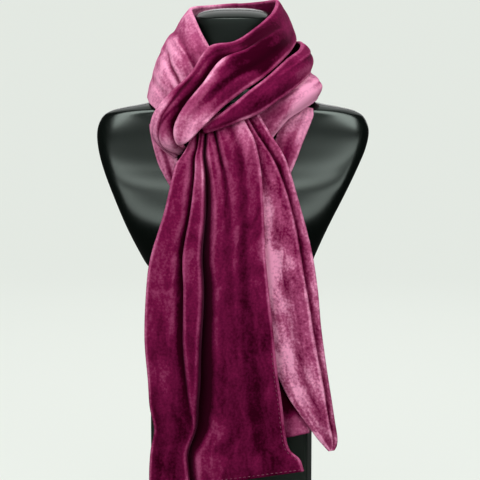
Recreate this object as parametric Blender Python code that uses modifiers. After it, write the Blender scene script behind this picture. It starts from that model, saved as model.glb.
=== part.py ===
"""A velvet scarf tied in a pull-through loop on a display bust, which stands on a column.

The scarf is folded in half round the neck. Its fold crosses the front from the right, turns round the two
tails on the left and goes back under them, and the tails hang down over the chest and the column.
Lengths are millimetres until a mesh is made. +Z is up, the front faces -Y, and the origin is the middle of
the column's underside.
"""

from collections import namedtuple

import bmesh
import bpy
import numpy as np

MM = 0.001
GAP = 0.3

# The scarf is a tube of silk velvet, pressed flat: one wall of cloth
WALL = 2
STEPS_PER_ROW = 2
COLUMNS_PER_CREASE = 4
CREASE_REACH = 1.3
CREASE_CROWDING = 2.2
ROLL_STEPS = 3
ROLL_TURN = np.radians(140)

# The column under the bust
COLUMN_WIDTH = 216
COLUMN_DEPTH = 140
COLUMN_HEIGHT = 366
COLUMN_ROUND = 4

# The bust
BUST_POINTS = 36
BUST_SQUARENESS = 2.5
NECK_TILT = 0.15

VELVET_ROUGHNESS = 0.6
BUST_ROUGHNESS = 0.35
COLUMN_ROUGHNESS = 0.4
SHARP_EDGE = np.radians(40)

# One section of a stretch: its upper or left edge, its lower or right edge, and how far it stands out between
Row = namedtuple("Row", "ax ay az bx by bz crown")
# A fold line: its share across at five even stations along the stretch, and its depth and half width
Crease = namedtuple("Crease", "start early middle late end depth_start depth_end width")
# A stretch of the scarf: the radius of its turned edges and the number of plain columns across it
Stretch = namedtuple("Stretch", "rows creases upper_roll lower_roll columns")
# A level section of the bust: where it is widest, its foremost and hindmost places, and its slope
Level = namedtuple("Level", "z half_width middle front back tilt")

BUST_LEVELS = (
    Level(COLUMN_HEIGHT + GAP, 107, -20, -66, 62, 0),
    Level(374, 112, -24, -70, 64, 0),
    Level(390, 119, -32, -74, 66, 0),
    Level(433, 141, -48, -77, 72, 0),
    Level(480, 163, -44, -74, 76, 0),
    Level(513, 177, -36, -68, 78, 0),
    Level(540, 185, -28, -62, 77, 0),
    Level(563, 187, -22, -57, 74, 0),
    Level(581, 181, -18, -53, 70, 0),
    Level(590, 169, -16, -52, 68, 0),
    Level(595, 151, -14, -50, 66, 0),
    Level(600, 125, -10, -49, 64, 0),
    Level(606, 102, -6, -49, 62, 0),
    Level(616, 82, -4, -49, 60, 0),
    Level(630, 67, -2, -50, 58, 0),
    Level(650, 58, 0, -51, 56, 0),
    Level(680, 54, 0, -52, 54, 0),
    Level(708, 53, 0, -53, 53, 0.5 * NECK_TILT),
    Level(725, 53, 0, -53, 53, NECK_TILT),
    Level(729, 50, 0, -50, 50, NECK_TILT),
)

# Round the left side, from under the crossing stretch at the front to the middle of the back
LEFT_WRAP = Stretch(
    rows=(
        Row(-14, -66, 655, -64, -72, 575, 5),
        Row(-28, -63, 679, -88, -68, 586, 8),
        Row(-42, -54, 702, -107, -56, 598, 11),
        Row(-55, -32, 724, -116, -26, 606, 13),
        Row(-61, 0, 732, -118, 6, 609, 14),
        Row(-56, 32, 738, -102, 54, 610, 13),
        Row(-34, 55, 741, -60, 82, 608, 12),
        Row(-GAP / 2, 62, 742, -GAP / 2, 90, 608, 12),
    ),
    creases=(
        Crease(0.30, 0.30, 0.28, 0.34, 0.38, 4, 7, 9),
        Crease(0.62, 0.66, 0.66, 0.68, 0.70, 2, 6, 9),
    ),
    upper_roll=3.3, lower_roll=5, columns=8)

# From the middle of the back round the right side, down across the front and round the tails on the left
CROSSING = Stretch(
    rows=(
        Row(GAP / 2, 62, 742, GAP / 2, 80, 692, 8),
        Row(34, 56, 744, 50, 72, 690, 8),
        Row(56, 34, 745, 78, 42, 688, 9),
        Row(61, 6, 740, 88, 0, 687, 10),
        Row(56, -30, 723, 87, -34, 676, 10),
        Row(36, -56, 703, 77, -66, 663, 12),
        Row(9, -74, 684, 52, -92, 638, 14),
        Row(-24, -88, 676, 23, -108, 617, 14),
        Row(-48, -98, 641, -3, -120, 596, 13),
        Row(-76, -102, 614, -27, -127, 572, 12),
        Row(-97, -98, 589, -44, -127, 555, 10),
        Row(-103, -93, 563, -54, -122, 547, 8),
        Row(-92, -90, 543, -56, -112, 544, 6),
        Row(-72, -84, 526, -54, -94, 541, 2),
    ),
    creases=(
        Crease(0.50, 0.42, 0.30, 0.44, 0.66, 2, 8, 8),
        Crease(0.80, 0.75, 0.62, 0.74, 0.84, 1, 2, 7),
    ),
    upper_roll=3.3, lower_roll=4.5, columns=9)

# Below the crossing stretch on the right, from the middle of the back to the knot
MIDDLE_BAND = Stretch(
    rows=(
        Row(GAP / 2, 80, 690, GAP / 2, 90, 652, 7),
        Row(50, 72, 688, 58, 80, 650, 7),
        Row(80, 42, 686, 94, 46, 648, 8),
        Row(92, 2, 685, 108, -6, 646, 9),
        Row(90, -36, 673, 105, -46, 637, 9),
        Row(77, -68, 659, 92, -78, 622, 9),
        Row(54, -94, 636, 71, -100, 606, 8),
        Row(28, -109, 615, 45, -112, 588, 6),
        Row(5, -117, 595, 19, -116, 577, 4),
        Row(-12, -120, 580, -3, -119, 567, 2),
    ),
    creases=(
        Crease(0.40, 0.40, 0.40, 0.45, 0.45, 4, 1, 7),
    ),
    upper_roll=4, lower_roll=4, columns=6)

# The light roll below that on the right, from the middle of the back to where the rear tail covers it
LOWER_BAND = Stretch(
    rows=(
        Row(GAP / 2, 89, 650, GAP / 2, 90, 608, 7),
        Row(56, 80, 648, 62, 83, 608, 7),
        Row(94, 44, 646, 104, 48, 608, 8),
        Row(108, -6, 643, 118, -10, 609, 9),
        Row(105, -44, 633, 116, -50, 603, 9),
        Row(92, -70, 618, 100, -70, 592, 8),
        Row(72, -82, 603, 81, -78, 579, 7),
        Row(53, -84, 588, 64, -80, 559, 5),
        Row(40, -84, 577, 50, -80, 541, 3),
    ),
    creases=(
        Crease(0.40, 0.45, 0.45, 0.45, 0.45, 1, 5, 6),
    ),
    upper_roll=4, lower_roll=4, columns=6)

# The lowest drape on the right, from the shoulder down to where the rear tail covers it
LOWEST_BAND = Stretch(
    rows=(
        Row(92, -53, 597, 113, -50, 594, 1),
        Row(83, -57, 588, 113, -56, 584, 2),
        Row(70, -62, 572, 107, -61, 567, 3),
        Row(62, -67, 550, 99, -66, 547, 4),
        Row(61, -72, 528, 92, -71, 527, 4),
        Row(62, -76, 506, 84, -77, 508, 3),
    ),
    creases=(
        Crease(0.5, 0.5, 0.5, 0.5, 0.5, 1, 3, 6),
    ),
    upper_roll=3, lower_roll=3, columns=5)

# Below the turn on the left, going down behind the front tail
LEFT_DRAPE = Stretch(
    rows=(
        Row(-110, -56, 573, -90, -64, 571, 2),
        Row(-108, -60, 560, -80, -70, 554, 3),
        Row(-103, -66, 542, -73, -74, 536, 4),
        Row(-96, -72, 521, -65, -79, 518, 4),
        Row(-87, -77, 504, -62, -85, 500, 4),
        Row(-77, -83, 488, -59, -90, 486, 3),
    ),
    creases=(
        Crease(0.45, 0.45, 0.5, 0.5, 0.5, 3, 3, 6),
    ),
    upper_roll=3, lower_roll=3, columns=5)

# The front tail, from under the knot to its hem
FRONT_TAIL = Stretch(
    rows=(
        Row(-43, -101, 567, 10, -104, 601, 1),
        Row(-48, -105, 552, 19, -107, 588, 1),
        Row(-56, -108, 536, 30, -111, 570, 2),
        Row(-65, -112, 522, 40, -115, 550, 4),
        Row(-71, -114, 501, 48, -115, 510, 5),
        Row(-81, -117, 457, 52, -117, 452, 6),
        Row(-99, -118, 398, 54, -118, 400, 6),
        Row(-105, -118, 357, 59, -118, 350, 6),
        Row(-108, -118, 290, 65, -117, 293, 6),
        Row(-104, -117, 232, 71, -116, 238, 6),
        Row(-102, -116, 196, 76, -115, 204, 6),
        Row(-96, -116, 165, 80, -115, 168, 6),
        Row(-101, -116, 137, 86, -116, 143, 5),
        Row(-103, -117, 110, 100, -118, 130, 4),
        Row(-103, -118, 80, 106, -119, 114, 3),
    ),
    creases=(
        Crease(0.18, 0.26, 0.26, 0.24, 0.22, 5, 2, 7),
        Crease(0.34, 0.42, 0.48, 0.41, 0.35, 9, 13, 9),
        Crease(0.54, 0.62, 0.70, 0.72, 0.74, 6, 1, 8),
    ),
    upper_roll=3.5, lower_roll=3.5, columns=12)

# The rear tail, whose folded edge shows to the right of the front tail
REAR_TAIL = Stretch(
    rows=(
        Row(16, -102, 578, 38, -98, 596, 1),
        Row(15, -105, 555, 58, -101, 563, 2),
        Row(19, -105, 520, 79, -102, 528, 3),
        Row(24, -104, 474, 95, -102, 478, 4),
        Row(32, -103, 409, 113, -102, 411, 5),
        Row(42, -102, 355, 122, -102, 357, 5),
        Row(53, -101, 303, 127, -101, 304, 5),
        Row(66, -100, 247, 135, -100, 247, 5),
        Row(83, -100, 209, 141, -100, 210, 4),
        Row(101, -100, 183, 146, -99, 178, 3),
        Row(122, -99, 148, 149, -98, 148, 2),
        Row(132, -98, 131, 146, -98, 133, 1),
    ),
    creases=(
        Crease(0.62, 0.66, 0.72, 0.76, 0.8, 4, 2, 6),
    ),
    upper_roll=3.5, lower_roll=3, columns=9)

# The part of the rear tail that is folded behind, down to its hem
REAR_TAIL_BACK = Stretch(
    rows=(
        Row(-10, -90, 560, 34, -88, 566, 2),
        Row(-20, -88, 500, 46, -88, 506, 3),
        Row(-24, -87, 420, 56, -88, 420, 3),
        Row(-24, -87, 340, 66, -90, 340, 3),
        Row(-20, -88, 258, 82, -92, 260, 3),
        Row(-17, -89, 190, 104, -92, 204, 3),
        Row(-15, -90, 130, 113, -92, 160, 2),
    ),
    creases=(
        Crease(0.5, 0.55, 0.6, 0.65, 0.7, 3, 5, 9),
    ),
    upper_roll=3, lower_roll=3, columns=7)

SCARF = {
    "left_wrap": (LEFT_WRAP, (0.60, 0.25, 0.40, 1)),
    "crossing_wrap": (CROSSING, (0.30, 0.02, 0.10, 1)),
    "middle_band": (MIDDLE_BAND, (0.22, 0.01, 0.07, 1)),
    "lower_band": (LOWER_BAND, (0.62, 0.24, 0.40, 1)),
    "lowest_band": (LOWEST_BAND, (0.55, 0.20, 0.35, 1)),
    "left_drape": (LEFT_DRAPE, (0.40, 0.08, 0.20, 1)),
    "front_tail": (FRONT_TAIL, (0.26, 0.02, 0.10, 1)),
    "rear_tail": (REAR_TAIL, (0.45, 0.12, 0.26, 1)),
    "rear_tail_back": (REAR_TAIL_BACK, (0.20, 0.02, 0.08, 1)),
}
BLACK_GLOSS = (0.012, 0.016, 0.014, 1)
COLUMN_BLACK = (0.016, 0.018, 0.014, 1)


def clear_scene():
    for item in list(bpy.data.objects):
        bpy.data.objects.remove(item, do_unlink=True)


def material(name, color, roughness):
    """A plain finish with the piece's colour."""
    finish = bpy.data.materials.new(name)
    finish.use_nodes = True
    shader = finish.node_tree.nodes["Principled BSDF"]
    shader.inputs["Base Color"].default_value = color
    shader.inputs["Roughness"].default_value = roughness
    shader.inputs["Metallic"].default_value = 0
    return finish


def guide_row(end, inner):
    """The row past an end: a mirror image at the middle of the back, and a straight run on elsewhere."""
    if abs(end[0]) < GAP:
        return inner * np.array((-1, 1, 1, -1, 1, 1, 1))
    return 2 * end - inner


def smooth_rows(rows):
    """Sections on smooth curves through the rows, and the direction in which each one runs on."""
    table = np.array(rows, dtype=float)
    padded = np.vstack([guide_row(table[0], table[1]), table, guide_row(table[-1], table[-2])])
    sections = []
    directions = []
    for row in range(len(table) - 1):
        before, here, there, after = padded[row:row + 4]
        square = 2 * before - 5 * here + 4 * there - after
        cube = 3 * here - before - 3 * there + after
        for t in np.arange(STEPS_PER_ROW) / STEPS_PER_ROW:
            sections.append(here + 0.5 * ((there - before) * t + square * t ** 2 + cube * t ** 3))
            directions.append((there - before) + 2 * square * t + 3 * cube * t ** 2)
    sections.append(table[-1])
    directions.append(padded[-1] - padded[-3])
    return np.array(sections), np.array(directions)


def crease_places(creases, share_along):
    """Each crease's share across, depth and half width where the stretch is share_along of its length."""
    stations = np.linspace(0, 1, 5)
    places = []
    for crease in creases:
        across = np.interp(share_along, stations, crease[:5])
        depth = np.interp(share_along, (0, 1), (crease.depth_start, crease.depth_end))
        places.append((across, depth, crease.width))
    return places


def column_shares(count, places, width):
    """Shares across a section, closer together at its creases."""
    fine = np.arange(0, 1.0025, 0.005)
    density = np.ones_like(fine)
    for across, _, half_width in places:
        spread = CREASE_REACH * half_width / width
        density += CREASE_CROWDING * np.exp(-((fine - across) / spread) ** 2)
    reached = np.concatenate([[0], np.cumsum((density[1:] + density[:-1]) / 2)])
    return np.interp(np.linspace(0, reached[-1], count), reached, fine)


def section_outline(stretch, section, normal, share_along, count):
    """The outer side of the cloth across one section, with its turned edges."""
    edge_a, edge_b, crown = section[:3], section[3:6], section[6]
    across = edge_b - edge_a
    width = np.linalg.norm(across)
    across = across / width
    places = crease_places(stretch.creases, share_along)
    shares = column_shares(count, places, width)
    height = crown * np.sin(np.pi * shares)
    for place, depth, half_width in places:
        height -= depth * np.exp(-((shares - place) * width / half_width) ** 2)
    reach = stretch.upper_roll + shares * (width - stretch.upper_roll - stretch.lower_roll)
    flat = list(zip(reach, height))
    turns = ROLL_TURN * np.arange(1, ROLL_STEPS + 1) / ROLL_STEPS
    upper = [(reach[0] - stretch.upper_roll * np.sin(turn),
              height[0] - stretch.upper_roll * (1 - np.cos(turn))) for turn in turns]
    lower = [(reach[-1] + stretch.lower_roll * np.sin(turn),
              height[-1] - stretch.lower_roll * (1 - np.cos(turn))) for turn in turns]
    return [edge_a + across * u + normal * h for u, h in upper[::-1] + flat + lower]


def stretch_points(stretch):
    """The outer side of a stretch, as a list of sections."""
    sections, directions = smooth_rows(stretch.rows)
    along = directions[:, :3] + directions[:, 3:6]
    across = sections[:, 3:6] - sections[:, :3]
    normals = np.cross(along, across)
    normals /= np.linalg.norm(normals, axis=1)[:, None]
    count = stretch.columns + COLUMNS_PER_CREASE * len(stretch.creases)
    shares = np.linspace(0, 1, len(sections))
    return [section_outline(stretch, section, normal, share, count)
            for section, normal, share in zip(sections, normals, shares)]


def make_object(name, mesh, collection, color, roughness):
    item = bpy.data.objects.new(name, mesh)
    item.data.materials.append(material(name, color, roughness))
    collection.objects.link(item)
    return item


def make_stretch(name, stretch, collection, color):
    """A loft through the sections, with the wall of the cloth on its inner side."""
    shape = bmesh.new()
    grid = [[shape.verts.new(point * MM) for point in line] for line in stretch_points(stretch)]
    for line, following in zip(grid[:-1], grid[1:]):
        for column in range(len(line) - 1):
            shape.faces.new((line[column], following[column], following[column + 1], line[column + 1]))
    mesh = bpy.data.meshes.new(name)
    shape.to_mesh(mesh)
    shape.free()
    mesh.shade_smooth()
    item = make_object(name, mesh, collection, color, VELVET_ROUGHNESS)
    wall = item.modifiers.new("Wall", "SOLIDIFY")
    wall.thickness = WALL * MM
    wall.offset = -1
    wall.use_even_offset = True
    return item


def bust_outline(level):
    """One level section of the bust, as points that go round it from the right."""
    angles = np.arange(BUST_POINTS) * 2 * np.pi / BUST_POINTS
    power = 2 / BUST_SQUARENESS
    points = []
    for angle in angles:
        x = level.half_width * np.sign(np.cos(angle)) * abs(np.cos(angle)) ** power
        reach = abs(np.sin(angle)) ** power
        end = level.back if np.sin(angle) > 0 else level.front
        y = level.middle + (end - level.middle) * reach
        points.append((x * MM, y * MM, (level.z + level.tilt * y) * MM))
    return points


def make_bust(collection):
    """A loft through the bust's levels, closed at both ends."""
    shape = bmesh.new()
    rings = [[shape.verts.new(point) for point in bust_outline(level)] for level in BUST_LEVELS]
    for ring, above in zip(rings[:-1], rings[1:]):
        for place in range(BUST_POINTS):
            after = (place + 1) % BUST_POINTS
            shape.faces.new((ring[place], ring[after], above[after], above[place]))
    shape.faces.new(rings[0][::-1])
    shape.faces.new(rings[-1])
    mesh = bpy.data.meshes.new("display_bust")
    shape.to_mesh(mesh)
    shape.free()
    mesh.shade_smooth()
    mesh.set_sharp_from_angle(angle=SHARP_EDGE)
    return make_object("display_bust", mesh, collection, BLACK_GLOSS, BUST_ROUGHNESS)


def make_column(collection):
    """The plain column that the bust stands on."""
    shape = bmesh.new()
    bmesh.ops.create_cube(shape, size=1)
    size = (COLUMN_WIDTH * MM, COLUMN_DEPTH * MM, COLUMN_HEIGHT * MM)
    bmesh.ops.scale(shape, verts=shape.verts, vec=size)
    mesh = bpy.data.meshes.new("column")
    shape.to_mesh(mesh)
    shape.free()
    item = make_object("column", mesh, collection, COLUMN_BLACK, COLUMN_ROUGHNESS)
    item.location.z = COLUMN_HEIGHT * MM / 2
    edges = item.modifiers.new("Edges", "BEVEL")
    edges.width = COLUMN_ROUND * MM
    edges.segments = 2
    return item


def main():
    clear_scene()
    collection = bpy.data.collections.new("velvet_scarf_on_display_bust")
    bpy.context.scene.collection.children.link(collection)
    make_column(collection)
    make_bust(collection)
    for name, (stretch, color) in SCARF.items():
        make_stretch(name, stretch, collection, color)


main()
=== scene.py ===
"""A crushed velvet scarf, tied in a pull-through loop on a display bust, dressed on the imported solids.

The scarf's and the bust's tables are in millimetres in the solids' own frame: +Z up, the front towards -Y, and
the origin in the middle of the column's underside.
"""
import math
from collections import namedtuple

import bpy
import numpy as np
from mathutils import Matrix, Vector


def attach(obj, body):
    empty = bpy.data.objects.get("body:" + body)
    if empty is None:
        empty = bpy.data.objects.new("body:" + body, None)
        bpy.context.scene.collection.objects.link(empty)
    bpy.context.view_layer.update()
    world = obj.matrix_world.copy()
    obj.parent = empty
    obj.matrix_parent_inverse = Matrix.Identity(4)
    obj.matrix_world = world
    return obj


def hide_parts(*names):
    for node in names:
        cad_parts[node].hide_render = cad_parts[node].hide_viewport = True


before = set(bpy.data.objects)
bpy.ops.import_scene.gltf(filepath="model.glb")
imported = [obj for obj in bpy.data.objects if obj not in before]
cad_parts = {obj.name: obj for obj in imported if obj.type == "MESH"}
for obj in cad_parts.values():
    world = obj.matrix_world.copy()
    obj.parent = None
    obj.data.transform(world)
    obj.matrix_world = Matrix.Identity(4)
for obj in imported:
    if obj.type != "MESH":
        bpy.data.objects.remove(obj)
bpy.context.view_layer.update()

bl_info = {
    "name": "Velvet scarf on a display bust",
    "version": (1, 0, 0),
    "blender": (4, 5, 0),
    "location": "3D View > Sidebar > Scarf",
    "description": "Drapes a crushed velvet scarf round a black display bust, with its stage",
    "category": "Add Mesh",
}

BODY = "root"
MM = 0.001

# One section of a stretch: its upper or left edge, its lower or right edge, and how far it stands out between
Row = namedtuple("Row", "ax ay az bx by bz crown")
# A fold line: its share across, its depth and its half width at even stations along the stretch. A larger
# power gives it a flatter floor and steeper sides. With a lean above 0 it is steep towards the first edge and
# gentle towards the other, as where one ply laps over the next, and with one below 0 the other way round.
Fold = namedtuple("Fold", "at deep wide power lean", defaults=(2, 0))
# A patch of painted sheen and shade on the pile, by its shares along and across: how far its pile leans to the
# light, painted paler the flatter it lies towards it, with 1 for flat towards it and 0 for away from it, and
# how far the patch reaches
Brushed = namedtuple("Brushed", "along across light reach")
# A stretch of the scarf: the node that it stands for, its sections, folds and patches, how far its plain pile
# leans to the light (painted as sheen and shade), the number and the seed of its small creases, how it is held
# and on what, and how strong its streaks and grain are
Stretch = namedtuple(
    "Stretch", "node rows folds brushed light creases seed held rests_on mottle", defaults=(1,))
# A level section of the bust: where it is widest, its foremost and hindmost places, its slope, and how far to
# the left of the column's middle it lies
Level = namedtuple("Level", "z half_width middle front back tilt aside", defaults=(0,))


def table(kind, rows):
    """A table's rows, each as one kind of named tuple."""
    return tuple(kind(*row) for row in rows)


# How far from the middle the stretches that meet at the back end
BACK_SEAM = 0.0

LEFT_WRAP = Stretch(
    node="left_wrap", light=0.82, creases=7, seed=11, held="draped", rests_on=("display_bust_shell",),
    rows=table(Row, (
        (-14, -66, 655, -64, -72, 575, 5),
        (-28, -63, 679, -88, -68, 586, 8),
        (-42, -54, 702, -107, -56, 598, 11),
        (-55, -32, 724, -117, -26, 606, 10),
        (-61, 0, 732, -120, 6, 609, 11),
        (-56, 32, 736.5, -102, 54, 610, 14),
        (-34, 55, 739.5, -60, 82, 608, 14),
        (-BACK_SEAM, 62, 742, -BACK_SEAM, 90, 608, 14),
    )),
    folds=(
        Fold((0.36, 0.25, 0.265, 0.31, 0.385), (2, 3, 3, 6, 11), (5, 7, 11, 9, 4), lean=-0.5),
        Fold((0.64, 0.60, 0.53, 0.47, 0.52, 0.60, 0.64, 0.67, 0.695), (1, 5, 6, 3, 1, 2, 4, 7, 10),
             (5, 5, 8, 7, 4)),
        Fold((0.85, 0.80, 0.80, 0.84, 0.84), (2, 2, 1, 0, -4), (6, 6, 7, 12, 16)),
        Fold((0.19, 0.19, 0.19, 0.19, 0.19), (0, 0, 0, 0, -4), (16, 16, 16, 16, 18)),
    ),
    brushed=table(Brushed, (
        (0.25, 0.18, 0.54, 18), (0.30, 0.58, 0.92, 18), (0.26, 0.35, 0.71, 14), (0.23, 0.85, 0.82, 20),
        (0.38, 0.90, 0.81, 20), (0.10, 0.30, 0.36, 14),
    )))

CROSSING_WRAP = Stretch(
    node="crossing_wrap", light=0.12, creases=5, seed=12, held="draped", rests_on=("display_bust_shell",),
    rows=table(Row, (
        (BACK_SEAM, 62, 742, BACK_SEAM, 80, 692, 8),
        (34, 56, 744, 50, 72, 690, 8),
        (56, 34, 745, 78, 42, 688, 5),
        (61, 6, 740, 88, 0, 687, 3),
        (56, -30, 723, 86, -34, 676, 5),
        (36, -56, 703, 77, -66, 663, 12),
        (9, -74, 684, 52, -92, 638, 14),
        (-24, -88, 676, 23, -108, 617, 14),
        (-48, -98, 641, -3, -120, 596, 13),
        (-76, -102, 614, -27, -127, 572, 12),
        (-97, -98, 589, -44, -127, 555, 10),
        (-103, -93, 563, -54, -122, 547, 8),
        (-92, -90, 543, -56, -112, 544, 6),
        (-72, -84, 526, -54, -94, 541, 2),
    )),
    folds=(
        Fold((0.50, 0.50, 0.42, 0.36, 0.34, 0.40, 0.57, 0.87, 0.97), (0, 0, 0, 1, 6, 15, 14, 7, 1),
             (9, 9, 8, 6, 6, 6), lean=-0.5),
        Fold((0.80, 0.80, 0.80, 0.80, 0.76, 0.74, 0.80, 0.92, 1.0), (0, 0, 1, 3, 3, 2, 1, 0, 0),
             (8, 8, 6, 6, 6)),
        Fold((0.10, 0.10, 0.10, 0.12, 0.14, 0.10, 0.22, 0.32, 0.1), (0, 0, 0, 0, 3, 2, 4, 2, 0),
             (6, 6, 6, 5, 4)),
    ),
    brushed=table(Brushed, (
        (0.32, 0.70, 0.16, 30), (0.43, 0.66, -0.30, 18), (0.42, 0.36, -0.10, 20), (0.48, 0.26, 0.70, 9),
        (0.45, 0.02, 0.20, 10), (0.56, 0.02, 0.33, 14), (0.545, 0.40, 0.84, 5), (0.595, 0.48, 0.70, 6),
        (0.64, 0.51, 0.54, 6), (0.60, 0.70, 0.08, 8), (0.695, 0.59, 0.20, 7), (0.67, 0.72, 0.50, 6),
        (0.50, 0.86, 0.22, 10), (0.57, 0.78, 0.15, 14), (0.64, 0.62, 0.42, 12), (0.62, 1.00, 0.35, 8),
        (0.72, 0.86, 0.88, 16), (0.76, 0.08, 1.08, 9), (0.75, 0.32, 0.22, 9), (0.89, 0.72, 0.90, 10),
        (0.90, 0.18, 0.85, 11),
    )))

MIDDLE_BAND = Stretch(
    node="middle_band", light=0.12, creases=0, seed=13, held="draped", rests_on=("lower_band_cloth",),
    rows=table(Row, (
        (BACK_SEAM, 80, 691.5, BACK_SEAM, 90, 652, 7),
        (50, 72, 689.5, 58, 80, 650, 7),
        (80, 42, 687.5, 94, 46, 648, 8),
        (95, 2, 685, 108, -6, 646, 9),
        (95, -36, 674, 106, -46, 637, 9),
        (79, -68, 660, 92, -78, 622, 9),
        (54, -94, 636, 71, -100, 606, 8),
        (28, -109, 615, 45, -112, 588, 6),
        (5, -117, 595, 19, -116, 577, 4),
        (-14, -116, 582, -4, -116, 568, 3),
        (-32, -115, 571, -26, -115, 561, 1.5),
    )),
    folds=(
        Fold((0.40, 0.40, 0.40, 0.34, 0.02, -0.1), (3, 5, 2, 0, 0, 0), (7, 7, 7, 6, 5, 4), lean=0.5),
    ),
    brushed=table(Brushed, (
        (0.38, 0.80, 0.34, 12), (0.45, 0.20, 0.20, 12), (0.47, 0.72, 0.34, 8), (0.55, 0.50, 0.14, 12),
        (0.62, 0.75, 0.08, 12), (0.72, 0.56, 0.04, 16), (0.86, 0.74, 0.08, 14), (0.74, 0.04, 0.50, 4),
        (0.85, 0.00, 0.60, 5),
    )))

LOWER_BAND = Stretch(
    node="lower_band", light=0.62, creases=5, seed=14, held="draped", rests_on=("display_bust_shell",),
    rows=table(Row, (
        (BACK_SEAM, 89, 651.5, BACK_SEAM, 90, 608, 7),
        (56, 80, 649.5, 62, 83, 608, 7),
        (94, 44, 647.5, 104, 48, 608, 8),
        (108, -6, 643, 118, -10, 609, 9),
        (104, -44, 635, 116, -50, 603, 9),
        (90, -68, 625, 100, -70, 592, 8),
        (70, -80, 611, 81, -78, 579, 7),
        (51, -83, 597, 64, -80, 559, 5),
        (38, -83, 586, 50, -80, 541, 3),
    )),
    folds=(
        Fold((0.40, 0.40, 0.42, 0.41, 0.40), (1, 2, 1, 0, 0), (6, 5, 5, 5, 5), lean=0.3),
    ),
    brushed=table(Brushed, (
        (0.50, 0.30, 0.80, 14), (0.62, 0.80, 1.15, 11), (0.62, 0.22, 0.80, 8), (0.68, 0.50, 0.62, 8),
        (0.74, 0.40, 0.46, 9), (0.80, 0.10, 0.75, 5), (0.76, 0.62, 0.40, 7), (0.82, 0.35, 0.36, 8),
        (0.84, 0.90, 0.85, 8), (0.95, 0.70, 0.60, 12),
    )))

LOWEST_BAND = Stretch(
    node="lowest_band", light=0.50, creases=3, seed=15, held="draped", rests_on=("display_bust_shell",),
    rows=table(Row, (
        (92, -53, 597, 113, -50, 594, 1),
        (83, -57, 588, 113, -56, 584, 2),
        (70, -62, 572, 107, -61, 567, 3),
        (62, -67, 550, 99, -66, 547, 4),
        (61, -72, 528, 92, -71, 527, 4),
        (62, -76, 506, 84, -77, 508, 3),
    )),
    folds=(
        Fold((0.5, 0.5, 0.5, 0.5, 0.5), (0, 0, 1, 1, 1), (6, 6, 6, 6, 6)),
    ),
    brushed=table(Brushed, (
        (0.10, 0.60, 0.95, 14), (0.29, 0.70, 0.92, 12), (0.43, 0.45, 0.80, 9), (0.45, 0.85, 0.75, 10),
        (0.65, 0.62, 0.38, 12), (0.90, 0.50, 0.25, 12),
    )))

LEFT_DRAPE = Stretch(
    node="left_drape", light=0.40, creases=3, seed=16, held="draped", rests_on=("display_bust_shell",),
    rows=table(Row, (
        (-110, -56, 573, -90, -64, 571, 2),
        (-108, -60, 560, -80, -70, 554, 3),
        (-103, -66, 542, -73, -74, 536, 4),
        (-96, -72, 521, -65, -79, 518, 4),
        (-87, -77, 504, -62, -85, 500, 4),
        (-77, -83, 488, -59, -90, 486, 3),
    )),
    folds=(
        Fold((0.45, 0.45, 0.5, 0.5, 0.5), (3, 3, 3, 3, 3), (6, 6, 6, 6, 6)),
    ),
    brushed=table(Brushed, (
        (0.50, 0.50, 0.62, 20),
    )))

FRONT_TAIL = Stretch(
    node="front_tail", light=0.22, creases=9, seed=17, held="hung", rests_on=("rear_tail_cloth",),
    rows=table(Row, (
        (-43, -101, 567, 10, -104, 601, 1),
        (-48, -105, 552, 19, -107, 588, 1),
        (-56, -108, 536, 30, -111, 570, 2),
        (-65, -112, 522, 40, -115, 550, 4),
        (-71, -114, 501, 48, -115, 510, 5),
        (-81, -117, 457, 52, -117, 452, 6),
        (-99, -118, 398, 54, -118, 400, 6),
        (-105, -118, 357, 59, -118, 350, 6),
        (-108, -118, 290, 65, -117, 293, 6),
        (-104, -117, 232, 71, -116, 238, 6),
        (-102, -116, 196, 76, -115, 204, 6),
        (-96, -116, 165, 80, -115, 168, 6),
        (-101, -116, 137, 86, -116, 143, 5),
        (-103, -117, 110, 100, -118, 130, 4),
        (-103, -118, 80, 106, -119, 114, 3),
    )),
    folds=(
        Fold((0.10, 0.19, 0.235, 0.255, 0.298, 0.288, 0.28, 0.27, 0.26), (5, 8, 9, 9, 8, 5, 2, 0, 0),
             (3.5, 4, 5, 8, 10), lean=-0.6),
        Fold((0.27, 0.30, 0.355, 0.42, 0.470, 0.413, 0.353, 0.268, 0.266), (6, 10, 12, 14, 15, 15, 14, 12, 9),
             (2.5, 3, 4, 7, 9, 11, 11, 8, 6.5), power=3, lean=0.5),
        Fold((0.40, 0.50, 0.57, 0.66, 0.70, 0.72, 0.74, 0.74, 0.74), (8, 8, 5, 2, 1, 0, 0, 0, 0),
             (3.5, 4.5, 9, 10, 10)),
        Fold((0.72, 0.76, 0.80, 0.82, 0.84, 0.84, 0.84, 0.84, 0.84), (3, 3, 2, 1, 1, 1, 1, 1, 1),
             (6, 7, 10, 12, 12)),
    ),
    brushed=table(Brushed, (
        (0.15, 0.90, 0.77, 14), (0.18, 0.12, 0.44, 9), (0.25, 0.95, 0.55, 10), (0.29, 0.31, 0.50, 14),
        (0.33, 0.13, 0.28, 25), (0.30, 0.73, 0.29, 20), (0.46, 0.14, 0.31, 24), (0.46, 0.36, 0.32, 16),
        (0.43, 0.79, 0.25, 30), (0.41, 1.00, 0.70, 8), (0.51, 0.60, 0.17, 10), (0.60, 0.74, 0.17, 40),
        (0.64, 0.33, 0.08, 20), (0.65, 0.16, 0.27, 14), (0.82, 0.09, 0.09, 30), (0.81, 0.74, 0.10, 40),
        (0.78, 0.50, 0.38, 9), (0.89, 0.43, 0.42, 10), (0.96, 0.33, 0.32, 12),
    )))

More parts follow.
